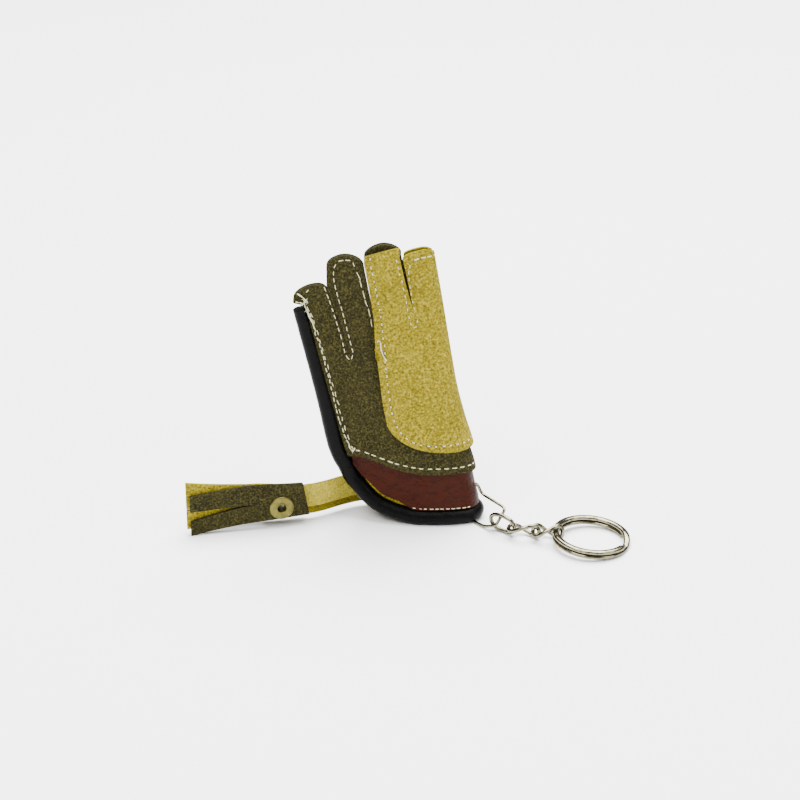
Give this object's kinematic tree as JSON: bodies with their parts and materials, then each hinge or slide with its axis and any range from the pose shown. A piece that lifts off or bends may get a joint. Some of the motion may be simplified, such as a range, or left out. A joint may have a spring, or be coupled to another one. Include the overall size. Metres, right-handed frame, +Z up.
{
  "type": "miniature falconry glove key fob",
  "caption": "Miniature leather falconry glove standing on its cuff, with a riveted leather tassel on one side and a short chain with a split ring on the other.",
  "frame": {"origin": "middle of the whole part's box, on the floor that the cuff stands on", "axes": "+Z up along the standing glove, +X towards the split ring, -Y towards the side that the picture shows"},
  "size_m": [0.1408, 0.0418, 0.0949],
  "materials": {
    "olive_suede": "olive suede, matt",
    "tan_nubuck": "tan nubuck, matt",
    "oxblood_leather": "smooth red-brown leather",
    "tan_lining": "tan nubuck, matt",
    "black_piping": "soft black leather, satin",
    "tan_strap": "tan nubuck, matt",
    "olive_tassel": "olive suede, matt",
    "tan_tassel": "tan nubuck, matt",
    "olive_tassel_back": "olive suede, matt",
    "antique_brass": "dull brass",
    "nickel_wire": "bright nickel plate",
    "nickel_link_1": "bright nickel plate",
    "nickel_link_2": "bright nickel plate",
    "nickel_link_3": "bright nickel plate",
    "nickel_ring": "bright nickel plate"
  },
  "bodies": {
    "root": {"glove_shell": "olive_suede", "finger_patch": "tan_nubuck", "cuff_band": "oxblood_leather", "cuff_lining": "tan_lining", "edge_piping": "black_piping", "tassel_strap": "tan_strap", "tassel_front": "olive_tassel", "tassel_fringe": "tan_tassel", "tassel_back": "olive_tassel_back", "rivet_eyelet": "antique_brass", "triangle_ring": "nickel_wire", "chain_link_1": "nickel_link_1", "chain_link_2": "nickel_link_2", "chain_link_3": "nickel_link_3", "split_ring": "nickel_ring"}
  },
  "joints": []
}
